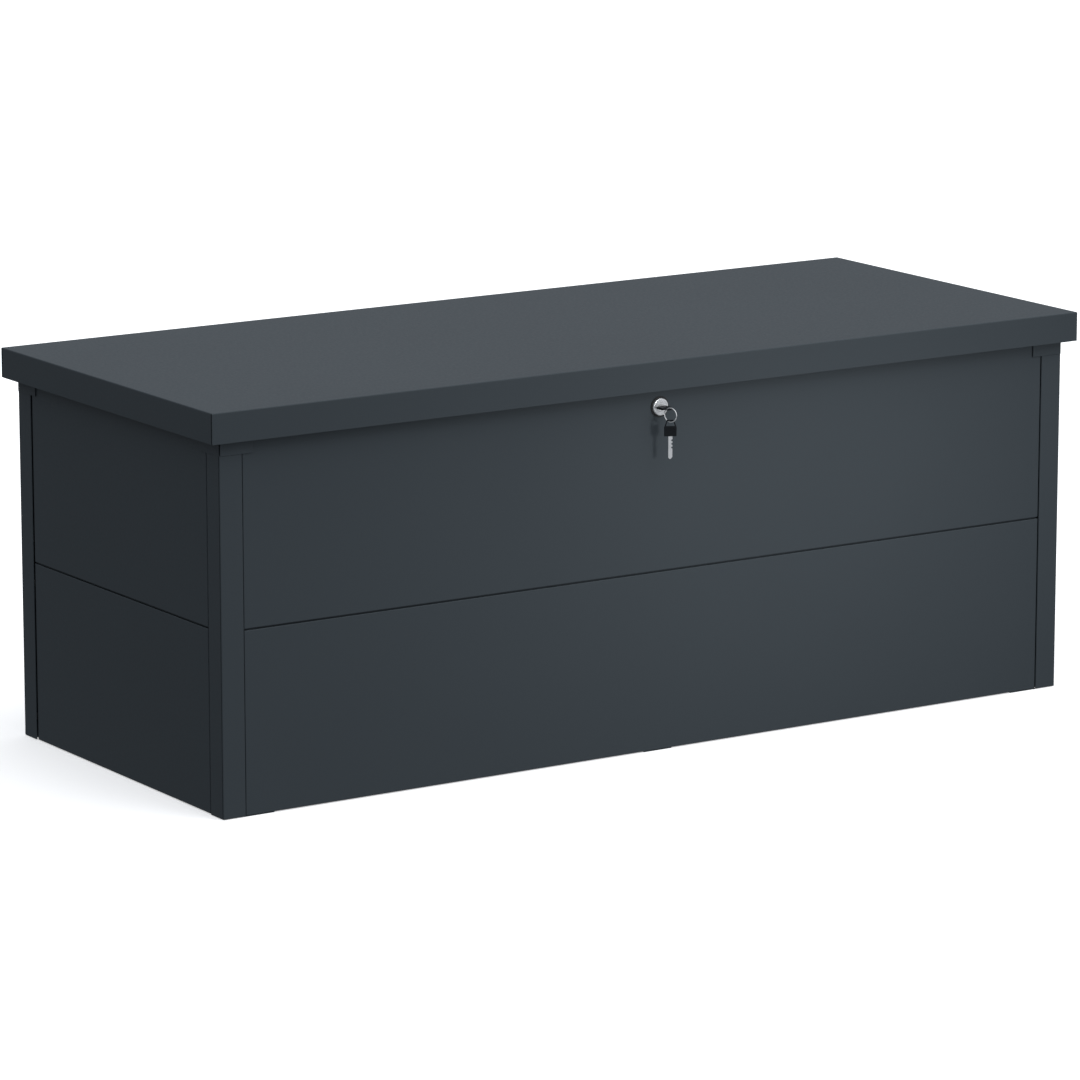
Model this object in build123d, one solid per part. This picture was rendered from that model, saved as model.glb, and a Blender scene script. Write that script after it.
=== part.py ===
from build123d import *
import math
import os

# Sheet-steel deck storage box with a lift-up lid on rear hinges, two gas struts and a cam lock with its keys.
# Millimetres, +Z up. The long side runs along X and the front faces -Y.
# The origin is the middle of the body's footprint, on the ground.

# ---- overall size ----
LID_LENGTH = 1500.0
LID_DEPTH = 615.0
TOTAL_HEIGHT = 580.0
SKIRT_HEIGHT = 44.0
BODY_LENGTH = 1462.0
BODY_DEPTH = 586.0
BODY_TOP = 560.0
SEAM_HEIGHT = 267.0

# ---- sheet metal ----
SHEET = 1.0
POST_SHEET = 1.2
CAP_SHEET = 0.8
FOLD_RADIUS = 1.2
PANEL_FOLD_RADIUS = 0.9
LID_FOLD_RADIUS = 1.6

# ---- corner posts and their caps ----
POST_LEG = 36.0
POST_LIP = 7.0
POST_BOTTOM = 0.8
CAP_LEG = 53.0
POST_GROOVE = 1.5
POST_GROOVE_DEPTH = 0.7
CAP_BOTTOM = 516.0
CAP_SLIT = 1.8
CAP_GUSSET = 18.0

# ---- wall panels ----
PANEL_RECESS = 1.2
PANEL_BOTTOM = 1.2
FRONT_GAP = 1.1
END_GAP = 3.4
SEAM_GAP = 2.5
RETURN_DEPTH = 12.0
FOOT_RETURN = 22.0
RIM_WIDTH = 26.0
RIM_LIP = 18.0
FLANGE_END = 10.0
STRIP_SETBACK = 3.5
STRIP_HEIGHT = 34.0

# ---- floor ----
RUNNER_WIDTH = 48.0
RUNNER_SHEET = 1.2
RUNNER_X = 672.0
FLOOR_TOP = 21.2
FLOOR_CLEARANCE = 1.3

# ---- lid ----
HEM_DEPTH = 12.0
CORNER_SLIT = 2.2
RIB_X = 450.0
RIB_WEB = 20.0
RIB_FLANGE = 7.0
RIB_LENGTH = 590.0
BUMPER_RADIUS = 7.0
BUMPER_HEIGHT = 3.7
BUMPER_GAP = 0.1
STRIKE_LEFT = 20.0
STRIKE_RIGHT = 44.0
STRIKE_SETBACK = 7.0
STRIKE_FLANGE = 24.0
STRIKE_DROP = 8.0
STRIKE_LEDGE = 3.0

# ---- hinges ----
HINGE_X = (-500.0, 0.0, 500.0)
HINGE_Y = 298.8
HINGE_Z = 532.0
LEAF_WIDTH = 70.0
LEAF_SHEET = 1.5
KNUCKLE_RADIUS = 4.5
KNUCKLE_HALF = 11.5
KNUCKLE_GAP = 0.5
KNUCKLE_WEB = 1.5
BODY_LEAF_BOTTOM = 34.0
BODY_LEAF_TOP = 6.0
LID_LEAF_BOTTOM = 2.0
LID_LEAF_HEIGHT = 30.0
LEAF_SCREW_OUT = 22.0
LEAF_SCREW_UP = 20.0
PIN_RADIUS = 2.5
PIN_HEAD = 1.2
PIN_HEAD_LENGTH = 2.0
RUNNING_FIT = 0.05

# ---- gas struts: both pins lie STRUT_LEVER from the hinge axis, so a strut turns half as far as the lid ----
STRUT_X = 688.0
STRUT_LEVER = 211.0
STRUT_LID_ANGLE = 7.9
STRUT_BODY_ANGLE = 20.2
EYE_RADIUS = 8.0
EYE_HALF_WIDTH = 6.0
STUD_RADIUS = 4.0
TUBE_RADIUS = 9.0
TUBE_BORE = 7.6
TUBE_LENGTH = 240.0
TUBE_START = 18.0
TUBE_WALL_END = 8.0
TUBE_NECK = 5.0
ROD_RADIUS = 4.0
ROD_PLAY = 0.35
ROD_LENGTH = 236.0
ROD_NECK = 18.0
PISTON_RADIUS = 7.2
PISTON_LENGTH = 6.0
STUD_HEAD = 2.0
BRACKET_SHEET = 2.0
BODY_PLATE_HALF = (26.0, 20.0)
STANDOFF_RADIUS = 9.0
LID_TAB_HALF = 12.0
LID_ANGLE_HALF = 24.0
LID_ANGLE_REACH = 20.0

# ---- cam lock ----
LOCK_Z = 510.0
LOCK_FACE_RADIUS = 13.0
LOCK_FACE = 3.0
GASKET_RADIUS = 15.2
BARREL_RADIUS = 9.5
BARREL_LENGTH = 32.0
FACE_GROOVE = (8.6, 9.3)
FACE_GROOVE_DEPTH = 0.35
NUT_RADIUS = 13.5
NUT_LENGTH = 5.0
PLUG_RADIUS = 7.0
PLUG_PROUD = 0.5
TAIL_HALF = 3.0
CAM_SHEET = 2.0
CAM_REACH = 38.0
CAM_HUB = 9.0
CAM_HALF = 7.0
CAM_SCREW_HEAD = 5.0
CAM_SCREW_RADIUS = 1.9

# ---- keys ----
BLADE_WIDTH = 5.8
BLADE_SHEET = 1.8
BLADE_LENGTH = 33.0
BLADE_ROOT = 8.0
BLADE_BITE = 1.9
BITE_PLACES = (16.5, 11.2, 5.9)
BITE_SLOPE = 1.7
BITE_FLAT = 0.4
BOW_WIDTH = 18.0
BOW_BLOCK = 14.6
BOW_LOOP = 9.4
BOW_THICK = 3.2
BOW_DISH = 0.25
LOOP_THICK = 1.5
LOOP_HALF = 5.2
LOOP_BAR = 2.0
RING_RADIUS = 10.25
RING_WIRE = 0.7
RING_DROP = 8.0
RING_TURN = 70.0
SPARE_TURN = 30.0

# ---- fasteners ----
SCREW_RADIUS = 2.45
SCREW_HEAD_RADIUS = 4.5
SCREW_HEAD = 3.0
SCREW_SHANK = 6.3
LOW_HEAD = 2.0
NUT_HALF = 5.0
SCREW_INSET = 21.0
SCREW_FROM_EDGE = 32.0
HOLE_RADIUS = 2.8

HALF_LENGTH = BODY_LENGTH / 2
HALF_DEPTH = BODY_DEPTH / 2
LID_UNDER = TOTAL_HEIGHT - SHEET
SKIRT_BOTTOM = TOTAL_HEIGHT - SKIRT_HEIGHT
LOWER_TOP = SEAM_HEIGHT - SEAM_GAP / 2
UPPER_BOTTOM = SEAM_HEIGHT + SEAM_GAP / 2
PANEL_FACE = HALF_DEPTH - PANEL_RECESS

# Each wall is drawn as the front wall and turned about Z: name, turn, half its run, half the distance across,
# and the gap between its panels and the posts.
WALLS = (
    ("front", 0, HALF_LENGTH, HALF_DEPTH, FRONT_GAP),
    ("right", 90, HALF_DEPTH, HALF_LENGTH, END_GAP),
    ("back", 180, HALF_LENGTH, HALF_DEPTH, FRONT_GAP),
    ("left", -90, HALF_DEPTH, HALF_LENGTH, END_GAP),
)
CORNERS = (
    ("front_left", -1, -1),
    ("front_right", 1, -1),
    ("back_left", -1, 1),
    ("back_right", 1, 1),
)
SIDES = (("left", -1), ("right", 1))


def block(x0, x1, y0, y1, z0, z1):
    """A box between two opposite corners."""
    middle = Pos((x0 + x1) / 2, (y0 + y1) / 2, (z0 + z1) / 2)
    return middle * Box(abs(x1 - x0), abs(y1 - y0), abs(z1 - z0))


def bar(start, direction, radius, length):
    """A round bar that starts at a point and runs along a direction."""
    base = Plane(origin=start, z_dir=direction)
    return base * Cylinder(radius, length, align=(Align.CENTER, Align.CENTER, Align.MIN))


def both_ways(shape):
    """The shape and its mirror image across the middle of its wall."""
    return [shape, mirror(shape, about=Plane.YZ)]


def save(node, shape):
    export_step(shape, "parts/" + node + ".step")


def group(solids):
    """Separate solids kept as one node."""
    return Compound(children=[one for shape in solids for one in shape.solids()])


# ---------------------------------------------------------------- walls

def screw_places(half_run, bottom, top):
    """Where a panel is screwed to the posts: along the wall and up it."""
    along = half_run - SCREW_INSET
    return [(side * along, z) for side in (-1, 1) for z in (bottom + SCREW_FROM_EDGE, top - SCREW_FROM_EDGE)]


def wall_panel(half_run, half_out, gap, bottom, top, bottom_return, top_return):
    """A folded panel. Its sides fold in beside the posts and then out behind them, where they are screwed."""
    face = -half_out + PANEL_RECESS
    fold = POST_LIP + SHEET - PANEL_RECESS
    edge = half_run - POST_LEG - gap
    tray = block(-edge, edge, face, face + fold, bottom, top)
    tray = fillet(tray.faces().sort_by(Axis.Y)[0].edges(), PANEL_FOLD_RADIUS)
    tray -= block(-edge + SHEET, edge - SHEET, face + SHEET, face + 2 * fold, bottom + SHEET, top - SHEET)
    tray += block(-edge, edge, face + fold, face + bottom_return, bottom, bottom + SHEET)
    tray += block(-edge, edge, face + fold, face + top_return, top - SHEET, top)
    flange = block(edge - SHEET, half_run - FLANGE_END, face + fold - SHEET, face + fold, bottom, top)
    for shape in both_ways(flange):
        tray += shape
    for along, z in screw_places(half_run, bottom, top):
        tray -= bar((along, face, z), (0, 1, 0), HOLE_RADIUS, 2 * fold)
    return tray


def lower_panel(half_run, half_out, gap):
    return wall_panel(half_run, half_out, gap, PANEL_BOTTOM, LOWER_TOP, FOOT_RETURN, RETURN_DEPTH)


def upper_panel(half_run, half_out, gap):
    """The upper panel also carries the rim: a wide top return with a lip turned down."""
    panel = wall_panel(half_run, half_out, gap, UPPER_BOTTOM, BODY_TOP, RETURN_DEPTH, RIM_WIDTH)
    inner = -half_out + PANEL_RECESS + RIM_WIDTH
    edge = half_run - POST_LEG - gap
    panel += block(-edge, edge, inner - SHEET, inner, BODY_TOP - RIM_LIP, BODY_TOP)
    # the lips of two neighbouring walls stop short of each other
    lip_end = block(half_run - CAP_LEG, half_run, inner - 2 * SHEET, inner + 1, 0, BODY_TOP - SHEET)
    for shape in both_ways(lip_end):
        panel -= shape
    return panel


def seam_strip(half_run, half_out, gap):
    """A T section: its tongue fills the gap between the panels and its web closes the seam from inside."""
    face = -half_out + PANEL_RECESS
    edge = half_run - POST_LEG - gap - FRONT_GAP
    tongue = block(-edge, edge, face + STRIP_SETBACK, face + RETURN_DEPTH, LOWER_TOP, UPPER_BOTTOM)
    low = SEAM_HEIGHT - STRIP_HEIGHT / 2
    web = block(-edge, edge, face + RETURN_DEPTH, face + RETURN_DEPTH + POST_SHEET, low, low + STRIP_HEIGHT)
    return tongue + web


def panel_fasteners(half_run, half_out, bottom, top):
    """The screws that hold one panel to its posts, and the weld nuts on the posts that take them."""
    leg = -half_out + POST_SHEET
    flange = -half_out + POST_LIP
    screws, nuts = [], []
    for along, z in screw_places(half_run, bottom, top):
        nut = block(along - NUT_HALF, along + NUT_HALF, leg, flange, z - NUT_HALF, z + NUT_HALF)
        nuts.append(nut - bar((along, leg - 1, z), (0, 1, 0), SCREW_RADIUS + RUNNING_FIT, POST_LIP))
        screws.append(screw((along, flange + SHEET, z), (0, 1, 0)))
    return screws, nuts


def screw(seat, outward):
    """A pan-head screw: its head stands outward from the seat and its shank goes the other way."""
    direction = Vector(outward)
    head = bar(seat, direction, SCREW_HEAD_RADIUS, SCREW_HEAD)
    head = fillet(head.edges().sort_by(lambda e: e.center().dot(direction))[-1], SCREW_HEAD / 2)
    tip = Vector(seat) - direction * SCREW_SHANK
    head += bar(tip, direction, SCREW_RADIUS, SCREW_SHANK)
    recess = Vector(seat) + direction * (SCREW_HEAD / 2)
    return head - bar(recess, direction, SCREW_HEAD_RADIUS / 3, SCREW_HEAD)


def cross_hole(x, y, z):
    """A cutter along Y for one screw hole, through the sheet at that Y."""
    return bar((x, y - LEAF_SHEET - 2 * SHEET, z), (0, 1, 0), HOLE_RADIUS, 2 * LEAF_SHEET + 4 * SHEET)


# ---------------------------------------------------------------- corners

def at_corner(shape, side_x, side_y):
    """Moves a shape from the local corner, whose legs run along +X and +Y, to a corner of the body."""
    if side_x > 0:
        shape = mirror(shape, about=Plane.YZ)
    if side_y > 0:
        shape = mirror(shape, about=Plane.XZ)
    return Pos(side_x * HALF_LENGTH, side_y * HALF_DEPTH, 0) * shape


def corner_post():
    """An angle with a lip along each leg and a groove up the corner. A slot behind the cap drains the cap."""
    low, high = POST_BOTTOM, BODY_TOP
    post = block(0, POST_LEG, 0, POST_LEG, low, high)
    outer = post.edges().filter_by(Axis.Z).sort_by(lambda e: e.center().X + e.center().Y)
    post = fillet(outer[0:3], FOLD_RADIUS)
    post -= block(POST_SHEET, POST_LEG - POST_SHEET, POST_SHEET, POST_LEG + 1, low - 1, high + 1)
    post -= block(POST_SHEET, POST_LEG + 1, POST_SHEET, POST_LEG - POST_SHEET, low - 1, high + 1)
    post -= block(POST_LIP, POST_LEG + 1, POST_LIP, POST_LEG + 1, low - 1, high + 1)
    slot = block(-1, CAP_SLIT, -1, CAP_SLIT, CAP_BOTTOM + 1, high + 1)
    groove = block(-1, POST_GROOVE_DEPTH, POST_SHEET, POST_SHEET + POST_GROOVE, low - 1, high + 1)
    return post - slot - groove


def corner_cap():
    """A gusset over the post's end, with a flange folded down outside each leg and a slit where they meet."""
    start = CAP_SLIT - CAP_SHEET
    outside = -CAP_SHEET
    plate = Polyline(
        (start, outside), (CAP_LEG, outside), (CAP_LEG, CAP_GUSSET), (CAP_GUSSET, CAP_LEG),
        (outside, CAP_LEG), (outside, start), (start, start), close=True,
    )
    top = Pos(0, 0, BODY_TOP) * extrude(make_face(plate), CAP_SHEET)
    top += block(start, CAP_LEG, outside, 0, CAP_BOTTOM, BODY_TOP + CAP_SHEET)
    top += block(outside, 0, start, CAP_LEG, CAP_BOTTOM, BODY_TOP + CAP_SHEET)
    return top


# ---------------------------------------------------------------- floor

def floor_runner(x):
    """A channel under the floor: its base lies under the wall panels and is what the box stands on."""
    half = RUNNER_WIDTH / 2
    reach = PANEL_FACE - 0.5
    runner = block(x - half, x + half, -reach, reach, 0, RUNNER_SHEET)
    wall_reach = PANEL_FACE - FOOT_RETURN - 2
    for inner in (x - half, x + half - RUNNER_SHEET):
        runner += block(inner, inner + RUNNER_SHEET, -wall_reach, wall_reach, 0, FLOOR_TOP - SHEET)
    return runner


def floor_panel(side):
    """Half the floor: an upturned tray that stands on the panels' bottom returns and on the runners."""
    far = HALF_LENGTH - PANEL_RECESS - RETURN_DEPTH - FLOOR_CLEARANCE
    deep = PANEL_FACE - RETURN_DEPTH - FLOOR_CLEARANCE
    low = PANEL_BOTTOM + SHEET
    tray = block(side * 0.5, side * far, -deep, deep, low, FLOOR_TOP)
    near, deep = 0.5 + SHEET, deep - SHEET
    return tray - block(side * near, side * (far - SHEET), -deep, deep, low - 1, FLOOR_TOP - SHEET)


# ---------------------------------------------------------------- lid

def lid_pan():
    """A folded pan with a hem turned in along the foot of its skirt, open where the hinges stand."""
    x, y = LID_LENGTH / 2, LID_DEPTH / 2
    pan = block(-x, x, -y, y, SKIRT_BOTTOM, TOTAL_HEIGHT)
    pan = fillet(pan.faces().sort_by(Axis.Z)[-1].edges(), LID_FOLD_RADIUS)
    pan -= block(-x + SHEET, x - SHEET, -y + SHEET, y - SHEET, SKIRT_BOTTOM + SHEET, LID_UNDER)
    pan -= block(-x + HEM_DEPTH, x - HEM_DEPTH, -y + HEM_DEPTH, y - HEM_DEPTH, SKIRT_BOTTOM - 1, LID_UNDER)
    for hinge in HINGE_X:
        clear = LEAF_WIDTH / 2 + 5
        hem = (y - HEM_DEPTH - 1, y - SHEET, SKIRT_BOTTOM - 1, SKIRT_BOTTOM + 2 * SHEET)
        pan -= block(hinge - clear, hinge + clear, *hem)
    # the side flanges butt against the front and back ones and leave a fine slit
    for side_x in (-1, 1):
        for side_y in (-1, 1):
            near = side_y * (y - SHEET)
            far = near - side_y * CORNER_SLIT
            pan -= block(side_x * (x - 2 * SHEET), side_x * (x + 1), near, far, SKIRT_BOTTOM - 1, LID_UNDER)
    for hinge_x, z in lid_leaf_screw_places():
        pan -= cross_hole(hinge_x, y, z)
    return pan


def lid_rib(x):
    """A hat section under the lid, from front to back."""
    web, reach = RIB_WEB / 2, RIB_LENGTH / 2
    low = BODY_TOP + BUMPER_HEIGHT + BUMPER_GAP
    rib = block(x - web, x + web, -reach, reach, low, LID_UNDER)
    rib -= block(x - web + SHEET, x + web - SHEET, -reach - 1, reach + 1, low + SHEET, LID_UNDER + 1)
    for side in (-1, 1):
        inner = x + side * (web - SHEET)
        outer = x + side * (web + RIB_FLANGE)
        rib += block(inner, outer, -reach, reach, LID_UNDER - SHEET, LID_UNDER)
    return rib


def rim_bumper(x, y):
    pad = bar((x, y, BODY_TOP), (0, 0, 1), BUMPER_RADIUS, BUMPER_HEIGHT)
    return fillet(pad.edges().sort_by(Axis.Z)[-1], 1.2)


def lid_strike():
    """The lock's keeper: it hangs from the lid, and its foot reaches forward under the turned cam."""
    x0, x1 = STRIKE_LEFT, STRIKE_RIGHT
    back = cam_front() + CAM_SHEET + STRIKE_SETBACK
    foot_top = LOCK_Z - STRIKE_DROP
    strike = block(x0, x1, back, back + CAM_SHEET, foot_top - CAM_SHEET, LID_UNDER)
    strike += block(x0, x1, back, back + STRIKE_FLANGE, LID_UNDER - CAM_SHEET, LID_UNDER)
    strike += block(x0, x1, cam_front() - STRIKE_LEDGE, back + CAM_SHEET, foot_top - CAM_SHEET, foot_top)
    return strike


# ---------------------------------------------------------------- hinges

def hinge_screw_places():
    return [(x + dx, HINGE_Z - LEAF_SCREW_UP) for x in HINGE_X for dx in (-LEAF_SCREW_OUT, LEAF_SCREW_OUT)]


def lid_leaf_screw_places():
    return [(x + dx, SKIRT_BOTTOM + LEAF_SCREW_UP) for x in HINGE_X for dx in (-LEAF_SCREW_OUT, LEAF_SCREW_OUT)]


def knuckle(x0, x1):
    return bar((x0, HINGE_Y, HINGE_Z), (1, 0, 0), KNUCKLE_RADIUS, x1 - x0)


def hinge_body_leaf(x):
    """The leaf on the back wall, with the two outer knuckles standing off it."""
    half = LEAF_WIDTH / 2
    seat = PANEL_FACE
    low, high = HINGE_Z - BODY_LEAF_BOTTOM, HINGE_Z - BODY_LEAF_TOP
    leaf = block(x - half, x + half, seat, seat + LEAF_SHEET, low, high)
    inner = KNUCKLE_HALF + KNUCKLE_GAP
    for x0, x1 in ((x - half, x - inner), (x + inner, x + half)):
        leaf += block(x0, x1, seat, seat + LEAF_SHEET, high - SHEET, HINGE_Z + KNUCKLE_WEB)
        leaf += block(x0, x1, seat, HINGE_Y, HINGE_Z - KNUCKLE_WEB, HINGE_Z + KNUCKLE_WEB)
        leaf += knuckle(x0, x1)
    for hole_x, z in hinge_screw_places():
        if abs(hole_x - x) < half:
            leaf -= cross_hole(hole_x, seat, z)
    return leaf - pin_bore(x)


def hinge_lid_leaf(x):
    """The leaf inside the lid's skirt, with the middle knuckle below it."""
    half = LEAF_WIDTH / 2
    seat = LID_DEPTH / 2 - SHEET
    low = SKIRT_BOTTOM + LID_LEAF_BOTTOM
    x0, x1 = x - KNUCKLE_HALF, x + KNUCKLE_HALF
    leaf = block(x - half, x + half, seat - LEAF_SHEET, seat, low, low + LID_LEAF_HEIGHT)
    leaf += block(x0, x1, seat - LEAF_SHEET, seat, HINGE_Z - KNUCKLE_WEB, low + SHEET)
    leaf += block(x0, x1, HINGE_Y, seat, HINGE_Z - KNUCKLE_WEB, HINGE_Z + KNUCKLE_WEB)
    leaf += knuckle(x0, x1)
    for hole_x, z in lid_leaf_screw_places():
        if abs(hole_x - x) < half:
            leaf -= cross_hole(hole_x, seat, z)
    return leaf - pin_bore(x)


def pin_bore(x):
    return bar((x - LEAF_WIDTH, HINGE_Y, HINGE_Z), (1, 0, 0), PIN_RADIUS + RUNNING_FIT, 2 * LEAF_WIDTH)


def hinge_pin(x):
    reach = LEAF_WIDTH / 2 + KNUCKLE_GAP
    pin = bar((x - reach, HINGE_Y, HINGE_Z), (1, 0, 0), PIN_RADIUS, 2 * reach)
    for start in (x - reach - PIN_HEAD_LENGTH, x + reach):
        pin += bar((start, HINGE_Y, HINGE_Z), (1, 0, 0), PIN_RADIUS + PIN_HEAD, PIN_HEAD_LENGTH)
    return pin


def lid_leaf_screw(x, z):
    """A low-headed screw from inside the skirt, its tip flush with the skirt's outside."""
    seat = LID_DEPTH / 2 - SHEET - LEAF_SHEET
    head = bar((x, seat - LOW_HEAD, z), (0, 1, 0), SCREW_HEAD_RADIUS, LOW_HEAD)
    head = fillet(head.edges().sort_by(Axis.Y)[0], LOW_HEAD / 2)
    return head + bar((x, seat, z), (0, 1, 0), SCREW_RADIUS, SHEET + LEAF_SHEET)


# ---------------------------------------------------------------- gas struts

def strut_ends():
    """The strut's two pins in the YZ plane with the lid shut, the unit vector between them and its length."""
    lid = math.radians(STRUT_LID_ANGLE)
    body = math.radians(STRUT_BODY_ANGLE)
    low = (HINGE_Y - STRUT_LEVER * math.sin(body), HINGE_Z - STRUT_LEVER * math.cos(body))
    high = (HINGE_Y - STRUT_LEVER * math.cos(lid), HINGE_Z + STRUT_LEVER * math.sin(lid))
    span = math.hypot(high[0] - low[0], high[1] - low[1])
    return low, high, ((high[0] - low[0]) / span, (high[1] - low[1]) / span), span


def eye(x, y, z):
    return bar((x - EYE_HALF_WIDTH, y, z), (1, 0, 0), EYE_RADIUS, 2 * EYE_HALF_WIDTH)


def eye_bore(x, y, z):
    return bar((x - 2 * EYE_HALF_WIDTH, y, z), (1, 0, 0), STUD_RADIUS + RUNNING_FIT, 4 * EYE_HALF_WIDTH)


def strut_point(distance):
    """A point on the strut's line, at a distance from the body pin, as Y and Z."""
    low, high, along, span = strut_ends()
    return low[0] + along[0] * distance, low[1] + along[1] * distance


def strut_cylinder(side):
    x = side * STRUT_X
    along = (0, *strut_ends()[2])
    shape = bar((x, *strut_point(TUBE_START)), along, TUBE_RADIUS, TUBE_LENGTH - TUBE_START)
    shape = fillet(shape.edges().filter_by(GeomType.CIRCLE), TUBE_RADIUS - TUBE_BORE)
    shape += bar((x, *strut_point(0)), along, TUBE_NECK, TUBE_START + 2)
    shape += eye(x, *strut_point(0))
    inside = TUBE_START + TUBE_WALL_END
    shape -= bar((x, *strut_point(inside)), along, TUBE_BORE, TUBE_LENGTH - TUBE_NECK - inside)
    shape -= bar((x, *strut_point(inside)), along, ROD_RADIUS + ROD_PLAY, TUBE_LENGTH)
    return shape - eye_bore(x, *strut_point(0))


def strut_rod(side):
    x = side * STRUT_X
    along = (0, *strut_ends()[2])
    span = strut_ends()[3]
    shape = bar((x, *strut_point(span - ROD_LENGTH)), along, ROD_RADIUS, ROD_LENGTH)
    shape += bar((x, *strut_point(span - ROD_LENGTH)), along, PISTON_RADIUS, PISTON_LENGTH)
    shape += bar((x, *strut_point(span - ROD_NECK)), along, TUBE_NECK, ROD_NECK)
    shape += eye(x, *strut_point(span))
    return shape - eye_bore(x, *strut_point(span))


def stud(x_out, x_in, y, z):
    """A shouldered stud that points inward along X and ends in a retaining head."""
    side = 1 if x_out > 0 else -1
    inward = (-side, 0, 0)
    shape = bar((x_out, y, z), inward, STUD_RADIUS, abs(x_out - x_in))
    return shape + bar((x_in, y, z), inward, STUD_RADIUS + STUD_HEAD, STUD_HEAD)


def strut_body_bracket(side):
    """A plate on the side wall with a standoff, which carries the strut's lower stud."""
    y, z = strut_point(0)
    wall = side * (HALF_LENGTH - PANEL_RECESS - SHEET)
    step = side * (STRUT_X + STUD_RADIUS + EYE_HALF_WIDTH)
    deep, high = BODY_PLATE_HALF
    shape = block(wall, wall - side * BRACKET_SHEET, y - deep, y + deep, z - high, z + high)
    shape += bar((wall, y, z), (-side, 0, 0), STANDOFF_RADIUS, abs(wall - step))
    return shape + stud(step, side * (STRUT_X - EYE_HALF_WIDTH - 1), y, z)


def strut_lid_bracket(side):
    """An angle under the lid, with a tab that carries the strut's upper stud."""
    y, z = strut_point(strut_ends()[3])
    tab = side * (STRUT_X + EYE_HALF_WIDTH + BRACKET_SHEET)
    outer, inner = tab + side * BRACKET_SHEET, tab - side * LID_ANGLE_REACH
    shape = block(tab, outer, y - LID_TAB_HALF, y + LID_TAB_HALF, z - BRACKET_SHEET, LID_UNDER)
    shape += bar((tab, y, z - BRACKET_SHEET), (side, 0, 0), LID_TAB_HALF, BRACKET_SHEET)
    shape += block(outer, inner, y - LID_ANGLE_HALF, y + LID_ANGLE_HALF, LID_UNDER - BRACKET_SHEET, LID_UNDER)
    return shape + stud(tab, side * (STRUT_X - EYE_HALF_WIDTH - 1), y, z)


# ---------------------------------------------------------------- lock and keys

def lock_face():
    """The Y of the lock's outer face."""
    return -PANEL_FACE - 1 - LOCK_FACE


def cam_front():
    """The Y of the cam's front side, just behind the barrel."""
    return -PANEL_FACE + BARREL_LENGTH + 2


def on_lock(y, radius, length):
    return bar((0, y, LOCK_Z), (0, 1, 0), radius, length)


def lock_gasket():
    ring = on_lock(-PANEL_FACE - 1, GASKET_RADIUS, 1)
    return ring - on_lock(-PANEL_FACE - 2, BARREL_RADIUS + RUNNING_FIT, 3)


def lock_housing():
    """The fixed barrel. Its face has a rounded rim and a turned groove about the plug."""
    flange = on_lock(lock_face(), LOCK_FACE_RADIUS, LOCK_FACE)
    flange = fillet(flange.edges().sort_by(Axis.Y)[0], LOCK_FACE / 2)
    groove = on_lock(lock_face() - 1, FACE_GROOVE[1], 1 + FACE_GROOVE_DEPTH)
    flange -= groove - on_lock(lock_face() - 1, FACE_GROOVE[0], 2 + FACE_GROOVE_DEPTH)
    flange += on_lock(-PANEL_FACE - 1, BARREL_RADIUS, BARREL_LENGTH + 1)
    return flange - on_lock(lock_face() - 1, PLUG_RADIUS + RUNNING_FIT, 2 * BARREL_LENGTH)


def lock_nut():
    hexagon = extrude(RegularPolygon(NUT_RADIUS, 6), NUT_LENGTH)
    nut = Plane(origin=(0, -PANEL_FACE + SHEET, LOCK_Z), z_dir=(0, 1, 0)) * hexagon
    return nut - on_lock(-PANEL_FACE, BARREL_RADIUS + RUNNING_FIT, 2 * NUT_LENGTH)


def lock_plug():
    """The turning core: a keyway from the front, and a short tail that the cam sits on."""
    front = lock_face() - PLUG_PROUD
    end = cam_front()
    plug = on_lock(front, PLUG_RADIUS, end - front)
    plug = chamfer(plug.edges().sort_by(Axis.Y)[0], 0.4)
    plug += block(-TAIL_HALF, TAIL_HALF, end, end + CAM_SHEET, LOCK_Z - TAIL_HALF, LOCK_Z + TAIL_HALF)
    plug -= on_lock(end - CAM_SHEET, CAM_SCREW_RADIUS + RUNNING_FIT, 3 * CAM_SHEET)
    wide, high = BLADE_WIDTH / 2 + 0.25, BLADE_SHEET / 2 + 0.2
    return plug - block(-wide, wide, front - 1, end - CAM_SHEET - 1, LOCK_Z - high, LOCK_Z + high)


def cam_lever():
    """The flat latch. It points up when the lock is open and swings across the keeper's foot to lock."""
    y = cam_front()
    hub = on_lock(y, CAM_HUB, CAM_SHEET)
    tip = CAM_REACH - CAM_HALF
    hub += block(-CAM_HALF, CAM_HALF, y, y + CAM_SHEET, LOCK_Z, LOCK_Z + tip)
    hub += bar((0, y, LOCK_Z + tip), (0, 1, 0), CAM_HALF, CAM_SHEET)
    hole = TAIL_HALF + RUNNING_FIT
    return hub - block(-hole, hole, y - 1, y + CAM_SHEET + 1, LOCK_Z - hole, LOCK_Z + hole)


def cam_screw():
    y = cam_front() + CAM_SHEET
    head = on_lock(y, CAM_SCREW_HEAD, CAM_SCREW_HEAD / 2)
    head = fillet(head.edges().sort_by(Axis.Y)[-1], 1)
    slot = (y + CAM_SCREW_HEAD / 4, y + CAM_SCREW_HEAD)
    head -= block(-0.6, 0.6, *slot, LOCK_Z - CAM_SCREW_HEAD, LOCK_Z + CAM_SCREW_HEAD)
    return head + on_lock(y - 2 * CAM_SCREW_RADIUS, CAM_SCREW_RADIUS, 2 * CAM_SCREW_RADIUS)


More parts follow.
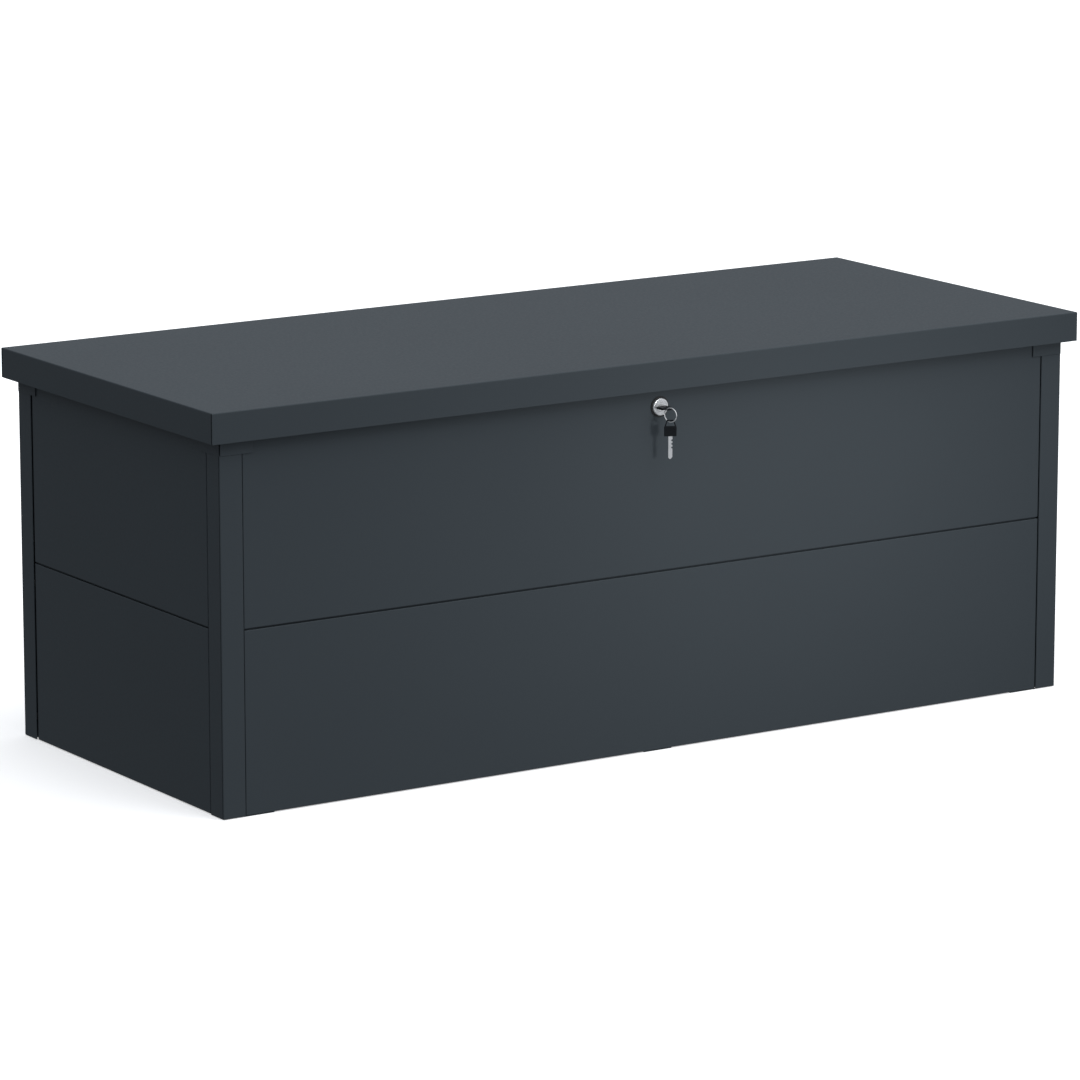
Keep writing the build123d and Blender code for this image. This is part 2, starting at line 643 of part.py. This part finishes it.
def key_blade():
    """A key's blade in the XY plane: tip towards +Y, shoulder at Y 0, and its root inside the bow."""
    half = BLADE_WIDTH / 2
    tip = BLADE_LENGTH
    bottom = half - BLADE_BITE
    outline = [(-half, -BLADE_ROOT), (-half, tip - 2), (-1.5, tip), (0.5, tip), (half, tip - 3)]
    for y in BITE_PLACES:
        outline += [(half, y + BITE_SLOPE), (bottom, y + BITE_FLAT)]
        outline += [(bottom, y - BITE_FLAT), (half, y - BITE_SLOPE)]
    outline += [(half, -BLADE_ROOT)]
    flat = extrude(make_face(Polyline(*outline, close=True)), BLADE_SHEET / 2, both=True)
    groove = block(-half - 1, -half + 1.8, 0, tip + 1, 0.45, 1)
    return flat - groove


def trapezium(half_near, half_far, near, far, half_thick):
    """A plate in the XY plane that narrows from one Y to another."""
    corners = ((-half_near, near), (-half_far, far), (half_far, far), (half_near, near))
    return extrude(make_face(Polyline(*corners, close=True)), half_thick, both=True)


def key_bow():
    """A key's moulded bow in the XY plane: a dished block over the blade's root, then a loop."""
    half = BOW_WIDTH / 2
    reach = BOW_BLOCK + BOW_LOOP
    body = block(-half, half, -BOW_BLOCK, 0, -BOW_THICK / 2, BOW_THICK / 2)
    body = fillet(body.edges(), 1)
    for side in (-1, 1):
        face = side * BOW_THICK / 2
        dish = block(3 - half, half - 3, 3 - BOW_BLOCK, -3, face - side * BOW_DISH, face + side)
        body -= fillet(dish.edges().filter_by(Axis.Z), 2)
    loop = trapezium(half, LOOP_HALF, -BOW_BLOCK + 1.5, -reach, LOOP_THICK / 2)
    loop = fillet(loop.edges().filter_by(Axis.Z).sort_by(Axis.Y)[0:2], 2)
    slot = trapezium(6.4, LOOP_HALF - 0.7, -BOW_BLOCK - 0.3, LOOP_BAR - reach, LOOP_THICK)
    slot = fillet(slot.edges().filter_by(Axis.Z), 0.9)
    loop = fillet((loop - slot).edges().filter_by_position(Axis.Y, -reach - 1, 0.5 - BOW_BLOCK), 0.55)
    return body + loop - key_blade()


def inserted(shape):
    """A key shape pushed home in the lock, flat."""
    return Pos(0, lock_face() - 2 * PLUG_PROUD, LOCK_Z) * shape


def ring_pivot():
    """The middle of the end bar of the inserted key's loop, where the ring hangs."""
    return Vector(0, lock_face() - 2 * PLUG_PROUD - BOW_BLOCK - BOW_LOOP + LOOP_BAR / 2, LOCK_Z)


def key_ring():
    across = math.radians(RING_TURN)
    centre = ring_pivot() - Vector(0, 0, RING_DROP)
    plane = Plane(origin=centre, z_dir=(math.sin(across), math.cos(across), 0))
    return plane * Torus(RING_RADIUS, RING_WIRE)


def hanging(shape):
    """A key shape hanging from the foot of the ring, blade down."""
    bar_middle = BOW_BLOCK + BOW_LOOP - LOOP_BAR / 2
    top = ring_pivot().Z - RING_DROP - RING_RADIUS + RING_WIRE + LOOP_BAR - 0.3
    place = Pos(0, ring_pivot().Y, top - bar_middle) * Rot(0, 0, -SPARE_TURN) * Rot(-90, 0, 0)
    return place * shape


# ---------------------------------------------------------------- writing the nodes

def write_walls():
    screws, nuts = [], []
    for name, turn, half_run, half_out, gap in WALLS:
        about = Rot(0, 0, turn)
        lower = about * lower_panel(half_run, half_out, gap)
        upper = about * upper_panel(half_run, half_out, gap)
        if name == "front":
            upper -= on_lock(-PANEL_FACE - 1, BARREL_RADIUS + RUNNING_FIT, 3)
        if name == "back":
            for x, z in hinge_screw_places():
                upper -= cross_hole(x, PANEL_FACE, z)
        save(name + "_lower_panel", lower)
        save(name + "_upper_panel", upper)
        save(name + "_seam_strip", about * seam_strip(half_run, half_out, gap))
        for bottom, top in ((PANEL_BOTTOM, LOWER_TOP), (UPPER_BOTTOM, BODY_TOP)):
            wall_screws, wall_nuts = panel_fasteners(half_run, half_out, bottom, top)
            screws += [about * one for one in wall_screws]
            nuts += [about * one for one in wall_nuts]
    for x, z in hinge_screw_places():
        screws.append(screw((x, PANEL_FACE + LEAF_SHEET, z), (0, 1, 0)))
    save("panel_screws", group(screws))
    save("weld_nuts", group(nuts))


def write_corners():
    for name, side_x, side_y in CORNERS:
        save("corner_post_" + name, at_corner(corner_post(), side_x, side_y))
        save("corner_cap_" + name, at_corner(corner_cap(), side_x, side_y))


def write_floor():
    for name, x in (("left", -RUNNER_X), ("centre", 0), ("right", RUNNER_X)):
        save("floor_runner_" + name, floor_runner(x))
    for name, side in SIDES:
        save("floor_panel_" + name, floor_panel(side))


def write_lid():
    rim_middle = PANEL_FACE - RIM_WIDTH / 2
    bumpers = [rim_bumper(x, y) for x in (-RIB_X, 0, RIB_X) for y in (-rim_middle, rim_middle)]
    save("rim_bumpers", group(bumpers))
    save("lid_pan", lid_pan())
    for name, x in (("left", -RIB_X), ("centre", 0), ("right", RIB_X)):
        save("lid_rib_" + name, lid_rib(x))
    save("lid_strike", lid_strike())


def write_hinges():
    for name, x in zip(("left", "centre", "right"), HINGE_X):
        save("hinge_body_leaf_" + name, hinge_body_leaf(x))
        save("hinge_lid_leaf_" + name, hinge_lid_leaf(x))
    save("hinge_pins", group([hinge_pin(x) for x in HINGE_X]))
    save("lid_screws", group([lid_leaf_screw(x, z) for x, z in lid_leaf_screw_places()]))


def write_struts():
    for name, side in SIDES:
        save("strut_cylinder_" + name, strut_cylinder(side))
        save("strut_rod_" + name, strut_rod(side))
        save("strut_body_bracket_" + name, strut_body_bracket(side))
        save("strut_lid_bracket_" + name, strut_lid_bracket(side))


def write_lock():
    save("lock_gasket", lock_gasket())
    save("lock_housing", lock_housing())
    save("lock_nut", lock_nut())
    save("lock_plug", lock_plug())
    save("cam_lever", cam_lever())
    save("cam_screw", cam_screw())
    save("key_blade", inserted(key_blade()))
    save("key_bow", inserted(key_bow()))
    save("key_ring", key_ring())
    save("spare_key_blade", hanging(key_blade()))
    save("spare_key_bow", hanging(key_bow()))


def print_joint_axes():
    """The places that the joints turn about, in millimetres."""
    low, high, along, span = strut_ends()
    print("lid hinge", HINGE_Y, HINGE_Z)
    print("strut pins", low, high, "length shut", round(span, 2))
    print("ring pivot", ring_pivot())
    print("spare key pivot", ring_pivot() - Vector(0, 0, RING_DROP + RING_RADIUS))


os.makedirs("parts", exist_ok=True)
write_walls()
write_corners()
write_floor()
write_lid()
write_hinges()
write_struts()
write_lock()
print_joint_axes()
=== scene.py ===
import math

import bpy
from mathutils import Euler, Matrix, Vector


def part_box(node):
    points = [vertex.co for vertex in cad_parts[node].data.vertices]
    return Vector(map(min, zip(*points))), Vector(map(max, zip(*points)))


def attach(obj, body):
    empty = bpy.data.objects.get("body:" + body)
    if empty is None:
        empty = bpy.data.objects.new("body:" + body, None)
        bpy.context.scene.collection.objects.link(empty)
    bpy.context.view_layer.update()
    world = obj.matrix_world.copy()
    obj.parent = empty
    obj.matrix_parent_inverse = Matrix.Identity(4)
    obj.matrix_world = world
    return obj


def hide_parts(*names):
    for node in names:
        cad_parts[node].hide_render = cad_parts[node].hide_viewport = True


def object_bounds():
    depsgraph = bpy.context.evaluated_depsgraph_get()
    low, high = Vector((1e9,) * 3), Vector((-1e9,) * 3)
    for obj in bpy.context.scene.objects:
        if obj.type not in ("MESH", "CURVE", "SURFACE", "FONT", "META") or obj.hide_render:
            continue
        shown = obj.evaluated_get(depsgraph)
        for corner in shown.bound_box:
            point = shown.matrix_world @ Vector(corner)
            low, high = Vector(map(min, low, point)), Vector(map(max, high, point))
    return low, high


# Looks for a sheet-steel deck storage box. Metres, +Z up. The front faces -Y.
# The camera stands at the front left.

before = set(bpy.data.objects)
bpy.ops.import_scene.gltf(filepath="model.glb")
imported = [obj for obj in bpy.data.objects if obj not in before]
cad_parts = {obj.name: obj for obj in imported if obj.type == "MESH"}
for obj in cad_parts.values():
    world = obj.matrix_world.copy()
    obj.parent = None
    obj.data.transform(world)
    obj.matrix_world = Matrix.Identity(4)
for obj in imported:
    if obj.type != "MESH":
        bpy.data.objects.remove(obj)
cad_low, cad_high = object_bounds()

# ---- camera ----
CAMERA_PLACE = (-4.5276, -6.9321, 2.0336)
CAMERA_YAW = 33.06
CAMERA_PITCH = 12.083
SENSOR = 36.0
LENS = 189.2

# ---- light ----
SKY_COLOUR = (0.965, 1.0, 1.055, 1.0)
SKY_LEVEL = 0.40
SKY_LIFT = (0.03, -0.10, 0.44)
SUN_STRENGTH = 1.2
SUN_FROM = (0.45, -0.55, 1.0)
SUN_ANGLE = 50.0
SPOT_OFFSET = (0.8, -3.0, 0.25)
SPOT_HEIGHT = 0.425
SPOT_CONE = 18.0
SPOT_RADIUS = 0.40
SPOTS = ((-0.42, 22.0), (0.03, 111.0), (0.42, 137.0))
FLOOR_GLOW = 0.45
FLOOR_REACH = 60.0
FLOOR_DROP = 0.0002

# ---- colours, linear ----
COAT = (0.0470, 0.0575, 0.0655)
HINGE_COAT = (0.040, 0.046, 0.051)
CHROME = (0.86, 0.87, 0.88)
NICKEL = (0.82, 0.83, 0.84)
ZINC = (0.60, 0.61, 0.62)
GROUND_STEEL = (0.62, 0.62, 0.62)
BLACK = (0.0075, 0.0090, 0.0110)
RUBBER = (0.012, 0.0125, 0.013)
EDGE_REACH = 0.0006
EDGE_SAMPLES = 4
# Reach and samples of the painted shade in narrow gaps and inside corners.
GAP_SHADE_REACH = 0.004
GAP_SHADE_SAMPLES = 6
PLATED = 0.75
DULLED = 0.6

# ---- split ring: a flat wire wound almost twice, with one step between the turns ----
RING_WIRE = 0.0014
RING_START = 200.0
RING_TURNS = 1.96
RING_STEP = (0.94, 1.04)
RING_SEGMENTS = 192
WIRE_SIDES = 16
WIRE_HALF_WIDTH = 0.47
WIRE_HALF_THICKNESS = 0.245
WIRE_SQUARENESS = 0.7
LAYER_GAP = 1.02


# ---------------------------------------------------------------- node helpers

class Tree:
    """A material's node tree, with short calls for the nodes that the finishes share."""

    def __init__(self, name):
        self.material = bpy.data.materials.new(name)
        self.material.use_nodes = True
        self.nodes = self.material.node_tree.nodes
        self.links = self.material.node_tree.links
        self.shader = self.nodes["Principled BSDF"]
        self.place = self.nodes.new("ShaderNodeTexCoord").outputs["Object"]

    def link(self, source, target):
        self.links.new(source, target)

    def stretched(self, scale, offset=(0, 0, 0)):
        """Object coordinates scaled differently along each axis."""
        node = self.nodes.new("ShaderNodeMapping")
        node.inputs["Location"].default_value = offset
        node.inputs["Scale"].default_value = scale
        self.link(self.place, node.inputs["Vector"])
        return node.outputs["Vector"]

    def noise(self, scale, detail=2.0, roughness=0.5, vector=None):
        node = self.nodes.new("ShaderNodeTexNoise")
        node.inputs["Scale"].default_value = scale
        node.inputs["Detail"].default_value = detail
        node.inputs["Roughness"].default_value = roughness
        self.link(vector or self.place, node.inputs["Vector"])
        return node.outputs["Fac"]

    def spread(self, value, low, high, start=0.3, end=0.7):
        """Maps a noise value to a range."""
        node = self.nodes.new("ShaderNodeMapRange")
        node.inputs["From Min"].default_value = start
        node.inputs["From Max"].default_value = end
        node.inputs["To Min"].default_value = low
        node.inputs["To Max"].default_value = high
        self.link(value, node.inputs["Value"])
        return node.outputs["Result"]

    def colours(self, value, first, second, start=0.3, end=0.7):
        """A colour that runs from the first to the second as the value rises."""
        node = self.nodes.new("ShaderNodeValToRGB")
        node.color_ramp.elements[0].position = start
        node.color_ramp.elements[0].color = (*first, 1)
        node.color_ramp.elements[1].position = end
        node.color_ramp.elements[1].color = (*second, 1)
        self.link(value, node.inputs["Fac"])
        return node.outputs["Color"]

    def mixed(self, share, first, second):
        """Two colours, one of them perhaps constant, mixed by a share."""
        node = self.nodes.new("ShaderNodeMix")
        node.data_type = "RGBA"
        self.link(share, node.inputs[0])
        for source, socket in ((first, node.inputs[6]), (second, node.inputs[7])):
            if isinstance(source, tuple):
                socket.default_value = (*source, 1)
            else:
                self.link(source, socket)
        return node.outputs[2]

    def bump(self, height, strength, distance, below=None):
        node = self.nodes.new("ShaderNodeBump")
        node.inputs["Strength"].default_value = strength
        node.inputs["Distance"].default_value = distance
        self.link(height, node.inputs["Height"])
        if below is not None:
            self.link(below, node.inputs["Normal"])
        return node.outputs["Normal"]

    def edges(self, radius):
        """Near 1 on a sharp edge and 0 on a flat face, with the rounded normal."""
        round_normal = self.nodes.new("ShaderNodeBevel")
        round_normal.samples = EDGE_SAMPLES
        round_normal.inputs["Radius"].default_value = radius
        flat = self.nodes.new("ShaderNodeNewGeometry").outputs["Normal"]
        product = self.nodes.new("ShaderNodeVectorMath")
        product.operation = "DOT_PRODUCT"
        self.link(round_normal.outputs["Normal"], product.inputs[0])
        self.link(flat, product.inputs[1])
        share = self.spread(product.outputs["Value"], 1.0, 0.0, 0.75, 0.99)
        return share, round_normal.outputs["Normal"]

    def painted_gap_shade(self, reach):
        """Painted shade: near 1 in a narrow gap or inside corner and 0 in the open, found by ambient
        occlusion.
        """
        node = self.nodes.new("ShaderNodeAmbientOcclusion")
        node.samples = GAP_SHADE_SAMPLES
        node.inputs["Distance"].default_value = reach
        return self.spread(node.outputs["AO"], 1.0, 0.0, 0.35, 0.8)

    def set(self, **values):
        """Constant values, straight on the shader's sockets."""
        for name, value in values.items():
            self.shader.inputs[name.replace("_", " ")].default_value = value

    def give(self, **sources):
        for name, source in sources.items():
            self.link(source, self.shader.inputs[name.replace("_", " ")])


def shade(colour, factor):
    return tuple(channel * factor for channel in colour)


# ---------------------------------------------------------------- finishes

def powder_coat(name, colour, grain=520.0, scuffs=0.0):
    """Satin powder: orange peel, faint clouding, lighter on the folds, and painted shade darkening the
    narrow gaps.
    """
    t = Tree(name)
    clouds = t.noise(2.3, 3.0)
    speckle = t.noise(1900.0, 1.0)
    base = t.colours(clouds, shade(colour, 0.97), shade(colour, 1.03))
    fine = t.colours(speckle, shade(colour, 0.95), shade(colour, 1.05))
    base = t.mixed(t.spread(clouds, 0.25, 0.4), base, fine)
    on_edge, round_normal = t.edges(EDGE_REACH)
    base = t.mixed(t.spread(on_edge, 0.0, 0.5, 0.0, 1.0), base, shade(colour, 1.5))
    # Painted shade: the colour darkens towards a quarter of itself where ambient occlusion finds a
    # narrow gap or inside corner.
    base = t.mixed(t.spread(t.painted_gap_shade(GAP_SHADE_REACH), 0.0, 0.6, 0.0, 1.0), base, shade(colour, 0.25))
    if scuffs:
        marks = t.noise(60.0, 6.0, 0.7, t.stretched((1.0, 0.18, 1.0)))
        base = t.mixed(t.spread(marks, 0.0, scuffs, 0.6, 0.72), base, shade(colour, 2.2))
    peel = t.noise(grain, 1.5, 0.4)
    roughness = t.spread(t.noise(240.0, 3.0, 0.6), 0.48, 0.56)
    t.set(Specular_IOR_Level=0.12)
    t.give(Base_Color=base, Roughness=roughness, Normal=t.bump(peel, 0.16, 0.0004, round_normal))
    return t.material


def turned_chrome(name, colour, centre):
    """Polished plating over a turned face: very fine rings about the lock's axis."""
    t = Tree(name)
    rings = t.nodes.new("ShaderNodeTexWave")
    rings.wave_type = "RINGS"
    rings.rings_direction = "Y"
    rings.inputs["Scale"].default_value = 900.0
    rings.inputs["Distortion"].default_value = 0.4
    t.link(t.stretched((1, 1, 1), (-centre[0], -centre[1], -centre[2])), rings.inputs["Vector"])
    smudge = t.noise(240.0, 4.0, 0.6)
    t.set(Metallic=PLATED)
    t.give(
        Base_Color=t.colours(smudge, shade(colour, 0.93), colour),
        Roughness=t.spread(smudge, 0.12, 0.26),
        Normal=t.bump(rings.outputs["Fac"], 0.05, 0.00004),
    )
    return t.material


def brushed_metal(name, colour, along, smooth=0.2, rough=0.38, metallic=1.0):
    """Metal with fine lines along one axis, and dull patches from handling."""
    t = Tree(name)
    lines = t.noise(260.0, 4.0, 0.65, t.stretched(along))
    patches = t.noise(110.0, 3.0)
    t.set(Metallic=metallic)
    base = t.colours(patches, shade(colour, 0.88), colour)
    t.give(
        Base_Color=t.mixed(t.spread(lines, 0.0, 0.25), base, shade(colour, 0.7)),
        Roughness=t.spread(lines, smooth, rough),
        Normal=t.bump(lines, 0.12, 0.00005),
    )
    return t.material


def zinc_plate(name, colour):
    """Passivated zinc: dull spangles with a faint warm and cold drift."""
    t = Tree(name)
    spangle = t.nodes.new("ShaderNodeTexVoronoi")
    spangle.inputs["Scale"].default_value = 420.0
    t.link(t.place, spangle.inputs["Vector"])
    grey = t.colours(spangle.outputs["Color"], shade(colour, 0.82), colour, 0.1, 0.9)
    warm = (colour[0] * 1.03, colour[1], colour[2] * 0.86)
    t.set(Metallic=1.0)
    t.give(
        Base_Color=t.mixed(t.spread(t.noise(55.0, 3.0), 0.0, 0.6), grey, warm),
        Roughness=t.spread(spangle.outputs["Distance"], 0.34, 0.52, 0.0, 0.8),
        Normal=t.bump(t.noise(900.0, 2.0), 0.15, 0.0001),
    )
    return t.material


def moulded(name, colour, grain, strength, low, high, specular=0.5):
    """Moulded plastic or rubber: a fine even grain, a little dustier in places."""
    t = Tree(name)
    dust = t.noise(75.0, 5.0, 0.6)
    texture = t.noise(grain, 3.0, 0.6)
    t.set(Specular_IOR_Level=specular)
    t.give(
        Base_Color=t.colours(dust, shade(colour, 0.85), shade(colour, 1.2)),
        Roughness=t.spread(texture, low, high),
        Normal=t.bump(texture, strength, 0.00012),
    )
    return t.material


def gloss_paint(name, colour):
    """Sprayed gloss black over a steel tube."""
    t = Tree(name)
    t.set(Coat_Weight=0.6, Coat_Roughness=0.08, Specular_IOR_Level=0.5)
    haze = t.noise(35.0, 4.0, 0.6)
    t.give(
        Base_Color=t.colours(haze, colour, shade(colour, 1.6)),
        Roughness=t.spread(haze, 0.22, 0.36),
        Normal=t.bump(t.noise(420.0, 1.5), 0.08, 0.0003),
    )
    return t.material


def pale_floor(name):
    t = Tree(name)
    tone = t.noise(0.8, 3.0)
    t.set(Specular_IOR_Level=0.0, Roughness=0.9, Emission_Strength=FLOOR_GLOW)
    t.shader.inputs["Emission Color"].default_value = (1, 1, 1, 1)
    t.give(Base_Color=t.colours(tone, (0.945, 0.945, 0.945), (0.955, 0.955, 0.955)))
    return t.material


def lock_centre():
    low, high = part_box("lock_housing")
    middle = (low + high) / 2
    return (middle.x, low.y, middle.z)


ACROSS = (1.0, 0.04, 1.0)
UPRIGHT = (1.0, 1.0, 0.04)
FINISHES = {
    "powder_coat": powder_coat("powder_coat_finish", COAT),
    "floor_coat": powder_coat("floor_coat_finish", COAT, 520.0, 0.35),
    "hinge_coat": powder_coat("hinge_coat_finish", HINGE_COAT, 700.0),
    "chrome": turned_chrome("chrome_finish", CHROME, lock_centre()),
    "gasket": moulded("gasket_finish", RUBBER, 1800.0, 0.2, 0.55, 0.75, 0.35),
    "key_plastic": moulded("key_plastic_finish", BLACK, 2600.0, 0.3, 0.5, 0.65, 0.12),
    "key_steel": brushed_metal("key_steel_finish", NICKEL, ACROSS, 0.25, 0.42, DULLED),
    "zinc": zinc_plate("zinc_finish", ZINC),
    "strut_black": gloss_paint("strut_black_finish", BLACK),
    "strut_steel": brushed_metal("strut_steel_finish", GROUND_STEEL, (0.04, 1.0, 1.0), 0.1, 0.22),
    "bumper_rubber": moulded("bumper_rubber_finish", RUBBER, 1500.0, 0.25, 0.6, 0.85, 0.35),
}
SPARE_STEEL = brushed_metal("spare_key_steel_finish", NICKEL, UPRIGHT, 0.25, 0.42, DULLED)
RING_STEEL = brushed_metal("key_ring_finish", CHROME, UPRIGHT, 0.34, 0.5, DULLED)


def finish_cad_nodes():
    """Gives every carried-over CAD node the finish of its own slot in the record."""
    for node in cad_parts.values():
        for spot in node.material_slots:
            spot.material = FINISHES[spot.material.name.split(".")[0]]
    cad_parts["spare_key_blade"].material_slots[0].material = SPARE_STEEL


# ---------------------------------------------------------------- pieces

def mesh_piece(name, points, faces, material, body):
    mesh = bpy.data.meshes.new(name)
    mesh.from_pydata(points, [], faces)
    mesh.update()
    for face in mesh.polygons:
        face.use_smooth = True
    piece = bpy.data.objects.new(name, mesh)
    bpy.context.scene.collection.objects.link(piece)
    mesh.materials.append(material)
    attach(piece, body)
    return piece


def split_ring():
    """A flat wire wound twice, with the step from one turn to the next. It stands for the plain ring."""
    low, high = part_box("key_ring")
    centre = (low + high) / 2
    radius = (high.z - low.z - RING_WIRE) / 2
    across = math.atan2(high.y - low.y, high.x - low.x)
    outward = Vector((-math.cos(across), math.sin(across), 0))
    axis = Vector((math.sin(across), math.cos(across), 0))
    up = Vector((0, 0, 1))
    step_from, step_to = RING_STEP
    points, faces = [], []
    for i in range(RING_SEGMENTS + 1):
        turn = RING_TURNS * i / RING_SEGMENTS
        rise = min(1.0, max(0.0, (turn - step_from) / (step_to - step_from)))
        rise = rise * rise * (3 - 2 * rise)
        layer = (rise - 0.5) * RING_WIRE * 0.5
        angle = math.radians(RING_START) + turn * 2 * math.pi
        out = outward * math.cos(angle) + up * math.sin(angle)
        middle = centre + out * radius + axis * layer * LAYER_GAP
        for k in range(WIRE_SIDES):
            a = 2 * math.pi * k / WIRE_SIDES
            c, s = math.cos(a), math.sin(a)
            wide = math.copysign(abs(c) ** WIRE_SQUARENESS, c) * RING_WIRE * WIRE_HALF_WIDTH
            thick = math.copysign(abs(s) ** WIRE_SQUARENESS, s) * RING_WIRE * WIRE_HALF_THICKNESS
            points.append(middle + out * wide + axis * thick)
    for i in range(RING_SEGMENTS):
        for k in range(WIRE_SIDES):
            n = (k + 1) % WIRE_SIDES
            a, b = i * WIRE_SIDES, (i + 1) * WIRE_SIDES
            faces.append((a + k, a + n, b + n, b + k))
    faces.append(tuple(range(WIRE_SIDES - 1, -1, -1)))
    faces.append(tuple(RING_SEGMENTS * WIRE_SIDES + k for k in range(WIRE_SIDES)))
    ring = mesh_piece("split_ring", points, faces, RING_STEEL, "key_ring")
    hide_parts("key_ring")


# ---------------------------------------------------------------- stage, light and camera

def floor():
    mesh = bpy.data.meshes.new("floor")
    corners = [(-FLOOR_REACH, -FLOOR_REACH, 0), (FLOOR_REACH, -FLOOR_REACH, 0)]
    corners += [(FLOOR_REACH, FLOOR_REACH, 0), (-FLOOR_REACH, FLOOR_REACH, 0)]
    mesh.from_pydata(corners, [], [(0, 1, 2, 3)])
    plane = bpy.data.objects.new("floor", mesh)
    bpy.context.scene.collection.objects.link(plane)
    plane.location.z = cad_low.z - FLOOR_DROP
    mesh.materials.append(pale_floor("floor_finish"))
    plane.visible_diffuse = False
    plane.visible_glossy = False


def sky():
    """A plain studio: a smooth gradient that lights the box, and plain white behind it."""
    world = bpy.data.worlds.new("studio")
    bpy.context.scene.world = world
    world.use_nodes = True
    nodes, links = world.node_tree.nodes, world.node_tree.links
    output = nodes["World Output"]
    light = nodes["Background"]
    direction = nodes.new("ShaderNodeTexCoord").outputs["Generated"]
    lean = nodes.new("ShaderNodeVectorMath")
    lean.operation = "DOT_PRODUCT"
    lean.inputs[1].default_value = SKY_LIFT
    links.new(direction, lean.inputs[0])
    level = nodes.new("ShaderNodeMath")
    level.operation = "ADD"
    level.use_clamp = True
    level.inputs[1].default_value = SKY_LEVEL
    links.new(lean.outputs["Value"], level.inputs[0])
    light.inputs["Color"].default_value = SKY_COLOUR
    links.new(level.outputs[0], light.inputs["Strength"])
    white = nodes.new("ShaderNodeBackground")
    white.inputs["Color"].default_value = (1, 1, 1, 1)
    white.inputs["Strength"].default_value = 1.0
    mix = nodes.new("ShaderNodeMixShader")
    links.new(nodes.new("ShaderNodeLightPath").outputs["Is Camera Ray"], mix.inputs["Fac"])
    links.new(light.outputs[0], mix.inputs[1])
    links.new(white.outputs[0], mix.inputs[2])
    links.new(mix.outputs[0], output.inputs["Surface"])


def aimed(obj, place, target):
    obj.location = place
    away = Vector(place) - Vector(target)
    obj.rotation_euler = away.to_track_quat("Z", "Y").to_euler()
    bpy.context.scene.collection.objects.link(obj)


def lights():
    """A soft key from the front right, and three overlapping pools of light across the front."""
    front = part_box("front_upper_panel")[0].y
    sun = bpy.data.lights.new("key_light", "SUN")
    sun.energy = SUN_STRENGTH
    sun.angle = math.radians(SUN_ANGLE)
    aimed(bpy.data.objects.new("key_light", sun), SUN_FROM, (0, 0, 0))
    for number, (x, power) in enumerate(SPOTS):
        spot = bpy.data.lights.new("front_spot_" + str(number), "SPOT")
        spot.energy = power
        spot.spot_size = math.radians(SPOT_CONE)
        spot.spot_blend = 1.0
        spot.shadow_soft_size = SPOT_RADIUS
        target = Vector((x, front, SPOT_HEIGHT))
        aimed(bpy.data.objects.new(spot.name, spot), target + Vector(SPOT_OFFSET), target)


def camera():
    data = bpy.data.cameras.new("camera")
    data.sensor_width = SENSOR
    data.lens = LENS
    data.clip_end = 100.0
    cam = bpy.data.objects.new("camera", data)
    cam.location = CAMERA_PLACE
    cam.rotation_euler = Euler((math.radians(90 - CAMERA_PITCH), 0, math.radians(-CAMERA_YAW)))
    bpy.context.scene.collection.objects.link(cam)
    bpy.context.scene.camera = cam


camera()
finish_cad_nodes()
split_ring()
floor()
sky()
lights()
bpy.context.scene.view_settings.view_transform = "Standard"

bpy.context.view_layer.update()
